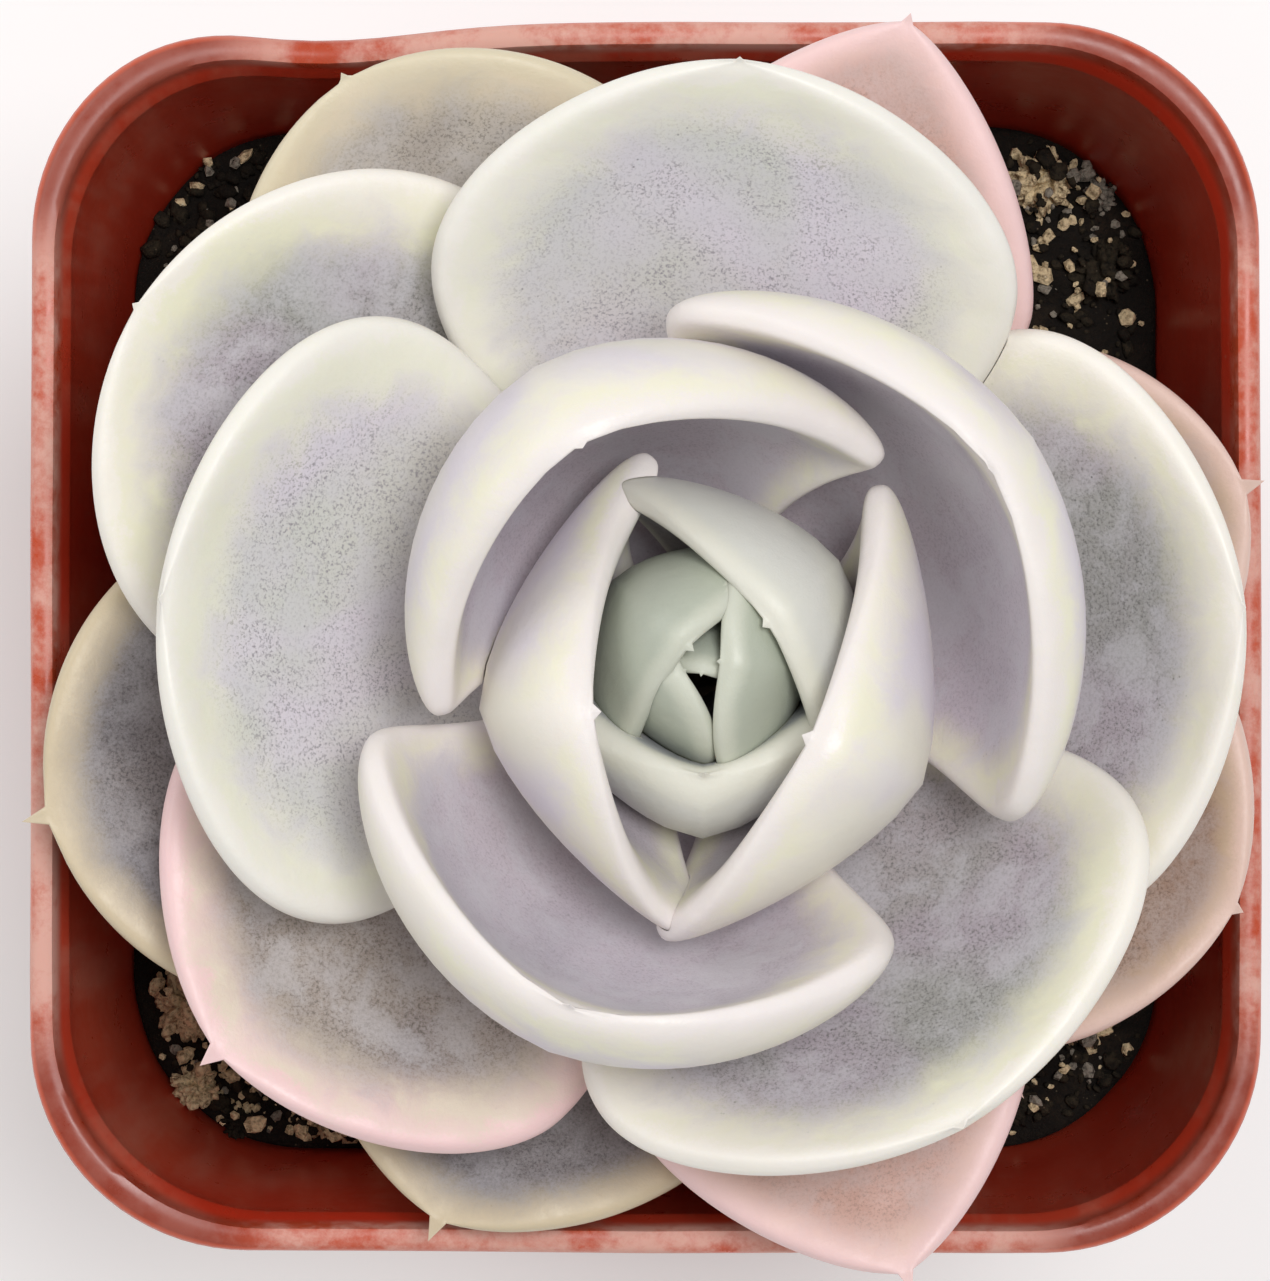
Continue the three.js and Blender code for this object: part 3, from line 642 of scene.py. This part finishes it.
# each leaf, from the innermost outwards: the turn added to its place in the spiral; its length, width and
# thickness in mm; the angles that it rises at and leans to; how far its sides cup, and where; its keel; how
# far its tip sweeps and rolls; its spine; and how blunt it is
LEAVES = [
    (-4, 12.2, 7.6, 2, 78, 128, 36, 1, 0.4, 0, 0, 0.3, 2.1),
    (-14, 13.4, 10.5, 2.4, 64, 128, 18, 0.9, 0.8, 0, 0, 0.3, 2.3),
    (-6, 14.8, 13, 2.6, 62, 136, 20, 0.9, 0.8, 0, 0, 0.3, 2.5),
    (-1, 16.6, 16.4, 2.8, 58, 142, 54, 0.6, 0.5, 0, 0, 0.5, 2.2),
    (-8, 15.5, 22, 3.8, 50, 108, 44, 0.4, 0.8, 0, 0, 0.5, 2.3),
    (-19, 18.4, 23.5, 3.2, 44, 140, 44, 0.6, 0.5, -0.5, -4, 0.5, 2.3),
    (-4, 23, 30.4, 3.4, 30, 145, 45, 0.4, 0.5, 1.6, -10, 0.6, 2.1),
    (-2, 25, 30, 3.8, 28, 147, 36, 0.4, 0.5, -1, 4, 0.6, 2.2),
    (8, 29.6, 37, 4.2, 20, 128, 74, 0.9, 0.4, 0, 0, 0.5, 2.5),
    (-2, 32.4, 36, 4.4, 16, 108, 62, 1, 0.4, 0, 0, 0.5, 2.5),
    (5, 31, 39, 4.4, 18, 110, 60, 1, 0.4, 0, 0, 0.5, 2.5),
    (6, 32.5, 34, 4.4, 18, 60, 26, 1.2, 0.3, 0, 0, 0.4, 2.1),
    (-7, 32.5, 35, 4.4, 16, 66, 32, 1.2, 0.3, 0, 0, 0.7, 2.1),
    (2, 34.8, 33, 4.4, 16, 56, 28, 1.2, 0.3, 0, 0, 0.5, 1.9),
    (-4, 34.4, 30.5, 4, 12, 38, 22, 1.2, 0.3, 0, 0, 1.4, 1.8),
    (4, 31.5, 34, 4.2, 14, 58, 30, 1.2, 0.3, 0, 0, 0.4, 2.1),
    (8, 37, 31, 4, 14, 44, 22, 1.2, 0.3, 0, 0, 0.4, 2.1),
    (10, 35.5, 24, 3.6, 16, 30, 22, 1.2, 0.3, 0, 0, 1.2, 1.5),
    (15, 36.5, 24, 3.6, 16, 32, 22, 1.2, 0.3, 0, 0, 0.6, 1.45),
    (-2, 37, 28, 3.6, 14, 26, 20, 1.2, 0.3, 0, 0, 1.6, 2),
    (1, 32, 28, 3.6, 16, 30, 20, 1.2, 0.3, 0, 0, 0.6, 1.9),
    (9, 37.5, 28, 3.6, 18, 32, 18, 1.2, 0.3, 0, 0, 0.5, 2),
    (-6, 34.5, 27, 3.4, 16, 28, 18, 1.2, 0.3, 0, 0, 1.4, 1.7),
    (-12, 32, 24, 3.2, 18, 30, 18, 1.2, 0.3, 0, 0, 1.3, 1.9),
    (-5, 28, 22, 3, 14, 26, 16, 1.2, 0.3, 0, 0, 0.8, 1.9),
    (0, 29, 18, 2.8, 18, 22, 16, 1.2, 0.3, 0, 0, 1.2, 1.8),
]


def clamp(value):
    """The value, held between 0 and 1."""
    return min(max(value, 0), 1)


def eased(value, power):
    """A power that keeps the sign."""
    return math.copysign(abs(value) ** power, value)


class Blade:
    """One leaf's shape: a point of the blade from how far it is along, across and through."""

    def __init__(self, index):
        row = LEAVES[index]
        aside, length, width, thick, rise, lean, cup, crease, keel, sweep, roll, spine, blunt = row
        self.length, self.width, self.thick = length / 1000, width / 1000, thick / 1000
        self.cup, self.crease, self.keel = math.radians(cup), crease, keel
        self.sweep, self.roll = sweep / 1000, math.radians(roll)
        self.blunt = blunt
        self.end = 1 - spine / length
        self.turn = math.radians(FIRST_LEAF + DIVERGENCE * index + aside)
        seat = CROWN.z - LEAF_PITCH * (index + 0.5)
        out, up = stem_radius(seat) + LEAF_GAP, seat
        self.line = []
        step = self.length / SPINE_STEPS
        for k in range(SPINE_STEPS + 1):
            slope = math.radians(rise + (lean - rise) * (k / SPINE_STEPS) ** CURL)
            self.line.append((out, up, slope))
            middle = math.radians(rise + (lean - rise) * ((k + 0.5) / SPINE_STEPS) ** CURL)
            out += step * math.cos(middle)
            up += step * math.sin(middle)

    def along_line(self, s):
        """How far out from the stem, how high and how steep the blade is at s."""
        at = clamp(s) * SPINE_STEPS
        k = min(int(at), SPINE_STEPS - 1)
        share = at - k
        return [a + (b - a) * share for a, b in zip(self.line[k], self.line[k + 1])]

    def past_widest(self, s):
        """How far s lies past the widest place, on the way to the fine point: 0 to 1."""
        return clamp((s - WIDEST) / (self.end - WIDEST))

    def point(self, s):
        """How much of the fine point's root is left at s: 1 at its root, 0 at the tip."""
        return clamp((1 - s) / (1.6 * (1 - self.end) + 0.03))

    def outline(self, s):
        """Share of the full width at s."""
        if s < WIDEST:
            return FOOT_WIDTH + (1 - FOOT_WIDTH) * math.sin(math.pi / 2 * s / WIDEST) ** FOOT_FLARE
        end = (1 - self.past_widest(s) ** self.blunt) ** (ROUNDNESS / self.blunt)
        return max(end, SPINE_WIDTH * self.point(s))

    def fullness(self, s):
        """Share of the full thickness at s."""
        body = FOOT_THICK + (1 - FOOT_THICK) * math.sin(math.pi * min(s / 0.9, 1))
        end = (1 - self.past_widest(s) ** END_DROP) ** 0.6
        return max(body * end, SPINE_THICK * self.point(s))

    def inset(self, s, across):
        """How far a point lies in from the leaf's margin."""
        half = self.width / 2
        if s < WIDEST:
            return half * self.outline(s) * (1 - abs(across))
        past = self.past_widest(s)
        beside = abs(self.outline(s) * across)
        ahead = past / (past + beside + 1e-6)
        reach = half + (self.length * (self.end - WIDEST) - half) * ahead
        edge = beside ** (self.blunt / ROUNDNESS) + past**self.blunt
        return reach * max(0, 1 - edge ** (1 / self.blunt))

    def place(self, ball, grow=0.0):
        """Where a point of a unit ball goes, with its share of the length, its share across and its side."""
        ring = math.acos(max(-1, min(1, -ball.z))) / math.pi  # 0 at the foot
        angle = math.atan2(ball.y, ball.x)
        pole = ring < 1e-4 or ring > 1 - 1e-4
        s = 1 - (1 - ring) ** RING_SHARE
        half = self.width / 2 * self.outline(s) + grow
        cup = self.cup * (1 if s < WIDEST else self.outline(s) ** CUP_EASE)
        across = 0 if pole else eased(math.cos(angle), MARGIN_SHARE)  # -1 and 1 at the margins
        side = 0 if pole else eased(math.sin(angle), SIDE_ROUND)  # 1 on the upper face, -1 on the back
        ends = min(1, math.sqrt(max(0, ring) / POLE_ROUND))
        # across the blade, the margins turn up more and more
        wide = lift = 0
        cup_step = half * abs(across) / CUP_STEPS
        for k in range(CUP_STEPS):
            tilt = cup * ((k + 0.5) / CUP_STEPS * abs(across)) ** self.crease
            wide += cup_step * math.cos(tilt)
            lift += cup_step * math.sin(tilt)
        wide *= math.copysign(1, across) * ends
        lift *= ends
        tilt = cup * eased(across, self.crease)
        hollow = 1 - TOP_HOLLOW * (1 - across * across) ** 2
        ridge = 1 + self.keel * (1 - abs(across)) ** 1.5
        shape = hollow if side > 0 else ridge
        depth = (self.thick / 2 * self.fullness(s) * shape * ends + grow) * side
        b = wide - depth * math.sin(tilt)
        n = lift + depth * math.cos(tilt)
        # the blade sweeps aside and rolls over on the way to its tip
        rolled = self.roll * s
        bb = b * math.cos(rolled) - n * math.sin(rolled) + self.sweep * s * s
        nn = b * math.sin(rolled) + n * math.cos(rolled)
        out, up, slope = self.along_line(s)
        stretch = (-grow if ring < 0.5 else grow) if pole else 0
        x = out + stretch * math.cos(slope) - nn * math.sin(slope)
        z = up + stretch * math.sin(slope) + nn * math.cos(slope)
        there = Vector(
            (
                CROWN.x + x * math.cos(self.turn) - bb * math.sin(self.turn),
                CROWN.y + x * math.sin(self.turn) + bb * math.cos(self.turn),
                z,
            )
        )
        return there, s, across, side


def tint(red, green, blue):
    """A colour from its everyday 0 to 255 values."""
    return tuple(((c / 255 + 0.055) / 1.055) ** 2.4 for c in (red, green, blue))


BLOOM = tint(214, 212, 218)
BLUSH = tint(198, 180, 184)  # low on a leaf, where it is shaded


class Finish(typing.NamedTuple):
    """One leaf finish: its colours, its margin band's width in metres, its bloom and its specks."""

    flesh: tuple
    second: tuple
    band: tuple
    edge: tuple
    back: tuple
    band_width: float
    bloom: float
    specks: float


def waxy_material(name, finish):
    """A leaf's skin: grey flesh under a pale bloom, a paler margin band with painted glints, a thin edge and
    fine specks; its back has cream patches, partly painted highlight.
    """
    flesh, second, band, edge, back, band_width, bloom, specks = finish
    n = Nodes(name)
    place = n.place()
    inset = n.attribute("inset")
    along = n.attribute("along")
    face = n.attribute("face")
    broad = n.noise(place, 80, 2, 0.5, 0.8)
    cloud = n.noise(place, 300, 5, 0.6, 0.4)
    mottle = n.noise(place, 1500, 4, 0.7, 0.3)
    powder = n.noise(place, 5600, 3, 0.75)
    body = n.mix(n.ramp(broad, 0.38, 0.62), flesh, second)
    body = n.mix(n.math("MULTIPLY", n.ramp(along, 0.75, 0.3), 0.45), body, BLUSH)
    clouded = n.math("ADD", n.math("MULTIPLY", cloud, 0.75), n.math("MULTIPLY", mottle, 0.25))
    clouded = n.ramp(clouded, 0.42, 0.6)
    body = n.mix(n.math("MULTIPLY", clouded, bloom), body, BLOOM)
    dark = tuple(0.42 * c for c in flesh)
    grit = n.math("MULTIPLY", n.ramp(powder, 0.52, 0.34), n.ramp(cloud, 0.62, 0.4, 0.35, 1.0))
    body = n.mix(n.math("MULTIPLY", grit, 0.95 * specks), body, dark)
    light = n.math("MULTIPLY", n.ramp(powder, 0.5, 0.66), 0.45)
    body = n.mix(n.math("MULTIPLY", light, bloom), body, BLOOM)
    pits = n.ramp(n.cells(place, 1700), 0.16, 0.05)
    pits = n.math("MULTIPLY", pits, n.ramp(n.noise(place, 260, 2), 0.54, 0.66))
    body = n.mix(n.math("MULTIPLY", pits, specks), body, tuple(0.3 * c for c in flesh))
    backing = n.mix(n.math("MULTIPLY", grit, 0.2 * specks), back, dark)
    # cream patches of the band's colour on the back: partly real colour, partly painted highlight
    backing = n.mix(n.math("MULTIPLY", n.ramp(broad, 0.38, 0.64), 0.6), backing, band)
    body = n.mix(n.ramp(face, 0.02, -0.12), body, backing)
    wander = n.math("ADD", inset, n.math("MULTIPLY", n.math("SUBTRACT", cloud, 0.5), band_width * 1.6))
    wander = n.math("ADD", wander, n.math("MULTIPLY", n.math("SUBTRACT", powder, 0.5), band_width * 0.5))
    banded = n.ramp(wander, band_width * 0.35, band_width * 1.7, 1.0, 0.0)
    # pale blotches in the margin band: partly the edge's own colour, partly painted glints along the ridge
    margin = n.math("ADD", n.math("MULTIPLY", cloud, 0.6), n.math("MULTIPLY", broad, 0.4))
    margin = n.mix(n.ramp(margin, 0.38, 0.62, 0.0, 0.7), band, edge)
    body = n.mix(n.math("MULTIPLY", banded, 0.95), body, margin)
    body = n.mix(n.ramp(wander, 0.0001, 0.0012, 0.8, 0.0), body, edge)
    n.set("Base Color", body)
    n.set("Roughness", n.ramp(n.math("ADD", cloud, n.math("MULTIPLY", powder, 0.4)), 0.5, 0.9, 0.36, 0.56))
    n.set("Specular IOR Level", 0.5)
    n.set("Subsurface Weight", 0.1)
    n.set("Subsurface Radius", (0.0016, 0.0013, 0.0010))
    n.set("Subsurface Scale", 1.0)
    small = n.bump(powder, 0.00002, 0.4)
    n.set("Normal", n.bump(n.math("ADD", cloud, n.math("MULTIPLY", mottle, 0.4)), 0.00014, 0.5, small))
    return n.material


FINISHES = {
    "heart": Finish(
        flesh=tint(150, 156, 140),
        second=tint(122, 130, 112),
        band=tint(186, 192, 174),
        edge=tint(206, 208, 194),
        back=tint(180, 186, 172),
        band_width=0.0006,
        bloom=0.25,
        specks=0.2,
    ),
    "bud": Finish(
        flesh=tint(168, 170, 174),
        second=tint(152, 156, 156),
        band=tint(216, 216, 204),
        edge=tint(226, 224, 212),
        back=tint(212, 212, 208),
        band_width=0.0010,
        bloom=0.35,
        specks=0.3,
    ),
    "cup": Finish(
        flesh=tint(218, 210, 220),
        second=tint(204, 197, 207),
        band=tint(240, 237, 212),
        edge=tint(240, 232, 232),
        back=tint(224, 217, 226),
        band_width=0.0028,
        bloom=0.5,
        specks=0.35,
    ),
    "pale": Finish(
        flesh=tint(224, 218, 228),
        second=tint(212, 214, 206),
        band=tint(238, 238, 218),
        edge=tint(242, 238, 232),
        back=tint(214, 208, 208),
        band_width=0.0034,
        bloom=0.5,
        specks=1.0,
    ),
    "broad": Finish(
        flesh=tint(172, 171, 168),
        second=tint(184, 174, 184),
        band=tint(240, 238, 212),
        edge=tint(246, 240, 234),
        back=tint(212, 206, 206),
        band_width=0.0034,
        bloom=0.5,
        specks=0.85,
    ),
    "blushed": Finish(
        flesh=tint(168, 156, 147),
        second=tint(156, 146, 144),
        band=tint(228, 214, 196),
        edge=tint(243, 205, 208),
        back=tint(210, 186, 182),
        band_width=0.0030,
        bloom=0.32,
        specks=0.9,
    ),
    "pink": Finish(
        flesh=tint(222, 184, 174),
        second=tint(208, 168, 156),
        band=tint(234, 202, 192),
        edge=tint(243, 208, 208),
        back=tint(210, 174, 164),
        band_width=0.0018,
        bloom=0.25,
        specks=0.5,
    ),
    "shaded": Finish(
        flesh=tint(124, 119, 122),
        second=tint(138, 131, 131),
        band=tint(198, 184, 162),
        edge=tint(210, 194, 164),
        back=tint(156, 143, 132),
        band_width=0.0019,
        bloom=0.2,
        specks=0.9,
    ),
    "russet": Finish(
        flesh=tint(160, 130, 114),
        second=tint(174, 148, 134),
        band=tint(204, 178, 152),
        edge=tint(230, 198, 188),
        back=tint(166, 140, 124),
        band_width=0.0016,
        bloom=0.2,
        specks=0.8,
    ),
    "olive": Finish(
        flesh=tint(192, 184, 176),
        second=tint(176, 167, 160),
        band=tint(220, 206, 182),
        edge=tint(218, 207, 180),
        back=tint(166, 155, 132),
        band_width=0.0024,
        bloom=0.25,
        specks=0.9,
    ),
}
# the finish of each leaf, from the innermost outwards
WEARS = ["heart"] * 4 + ["bud"] * 2 + ["cup"] * 5 + ["pale", "broad", "pale", "blushed"] + ["broad"] * 2
WEARS += ["pink"] * 2 + ["shaded", "russet", "olive", "shaded"] + ["russet"] * 3
skins = {name: waxy_material("waxy_" + name, finish) for name, finish in FINISHES.items()}


def leaf_object(index, grow=0.0):
    """A leaf's skin, or with grow the room that it takes from the leaves outside it."""
    blade = Blade(index)
    bm = bmesh.new()
    bmesh.ops.create_uvsphere(bm, u_segments=LEAF_SIDES, v_segments=LEAF_RINGS, radius=1)
    marks = {name: bm.verts.layers.float.new(name) for name in ("inset", "along", "face")}
    away = Vector((index * 0.31, index * 0.17, 0))
    for vert in bm.verts:
        there, s, across, side = blade.place(vert.co, grow)
        vert[marks["inset"]] = blade.inset(s, across)
        vert[marks["along"]] = s
        vert[marks["face"]] = side
        wave = noise.noise((there + away) * 110) * 0.00035 + noise.noise((there + away) * 420) * 0.00007
        vert.co = there + Vector((0, 0, wave * clamp(s * 4 - 1)))
        over_lip = max(abs(there.x), abs(there.y)) > LIP_HALF - LIP_REACH
        if over_lip and there.z > POT_HEIGHT - LIP_DROP:
            vert.co.z = max(vert.co.z, POT_HEIGHT + LIP_CLEAR - grow)
    kind = "_room" if grow else "_waxy"
    return mesh_object(f"leaf_{index + 1:02d}" + kind, bm, skins[WEARS[index]])


def boxes_meet(a, b):
    """Whether the upright boxes round two pieces overlap."""
    low_a, high_a = [Vector(map(f, *(v.co for v in a.data.vertices))) for f in (min, max)]
    low_b, high_b = [Vector(map(f, *(v.co for v in b.data.vertices))) for f in (min, max)]
    return all(low_a[i] < high_b[i] and low_b[i] < high_a[i] for i in range(3))


def keep_largest(mesh):
    """Drops the loose bits that a cut leaves behind."""
    bm = bmesh.new()
    bm.from_mesh(mesh)
    left = set(bm.verts)
    parts = []
    while left:
        first = left.pop()
        part, reach = {first}, [first]
        while reach:
            for edge in reach.pop().link_edges:
                for vert in edge.verts:
                    if vert in left:
                        left.discard(vert)
                        part.add(vert)
                        reach.append(vert)
        parts.append(part)
    parts.sort(key=len)
    for part in parts[:-1]:
        bmesh.ops.delete(bm, geom=list(part), context="VERTS")
    bm.to_mesh(mesh)
    bm.free()


TOUCH = 0.00006  # the hair's breadth that neighbouring leaves keep
rooms = []
for index in range(len(LEAVES)):
    leaf = leaf_object(index)
    if rooms:
        cut_away(leaf, [room for room in rooms if boxes_meet(leaf, room)])
        keep_largest(leaf.data)
        leaf.data.set_sharp_from_angle(angle=math.radians(55))
    rooms.append(leaf_object(index, TOUCH))
    node = f"leaf_{index + 1:02d}"
    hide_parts(node)
for room in rooms:
    bpy.data.objects.remove(room)


# ---- The floor, the light and the camera ----
# A plain pale floor, with a soft light a little to one side overhead and a dim one from the left.
# The sky fills the shadows, and a long lens looks straight down.

FLOOR_GLOW = 0.1
SKY_LIGHT = 0.47
LENS = 138.8
EYE_UP = 0.28  # how far above the lip the camera stands
ROSETTE_MIDDLE = 0.07

floor_bm = bmesh.new()
bmesh.ops.create_grid(floor_bm, x_segments=8, y_segments=8, size=1.5)
floor_mesh = bpy.data.meshes.new("floor")
floor_bm.to_mesh(floor_mesh)
floor_bm.free()
floor = bpy.data.objects.new("floor", floor_mesh)
bpy.context.collection.objects.link(floor)
pale = Nodes("pale_floor")
floor_grain = pale.noise(pale.place(), 60, 3)
pale.set("Base Color", pale.mix(floor_grain, (0.93, 0.93, 0.93), (0.95, 0.95, 0.95)))
pale.set("Roughness", 0.9)
pale.set("Emission Color", (1.0, 1.0, 1.0))
pale.set("Emission Strength", FLOOR_GLOW)
floor_mesh.materials.append(pale.material)

world = bpy.data.worlds.new("soft_sky")
world.use_nodes = True
sky = world.node_tree.nodes["Background"]
sky.inputs["Color"].default_value = (1, 0.995, 0.985, 1)
sky.inputs["Strength"].default_value = SKY_LIGHT
bpy.context.scene.world = world


def soft_light(name, place, size, power, colour):
    """A round soft light aimed at the middle of the rosette."""
    lamp = bpy.data.lights.new(name, "AREA")
    lamp.shape = "DISK"
    lamp.size = size
    lamp.energy = power
    lamp.color = colour
    made = bpy.data.objects.new(name, lamp)
    made.location = place
    made.rotation_euler = (Vector((0, 0, ROSETTE_MIDDLE)) - Vector(place)).to_track_quat("-Z", "Y").to_euler()
    bpy.context.collection.objects.link(made)


soft_light("overhead", (0.14, 0.10, 0.75), 0.26, 2.45, (1, 1, 1))
soft_light("side", (-0.4, 0.3, 0.45), 0.4, 0.8, (1, 0.99, 0.97))

eye = bpy.data.cameras.new("camera")
eye.sensor_width = 36
eye.lens = LENS
camera = bpy.data.objects.new("camera", eye)
camera.location = (-0.00062, -0.00017, POT_HEIGHT + EYE_UP)
bpy.context.collection.objects.link(camera)
bpy.context.scene.camera = camera
bpy.context.scene.view_settings.view_transform = "Standard"
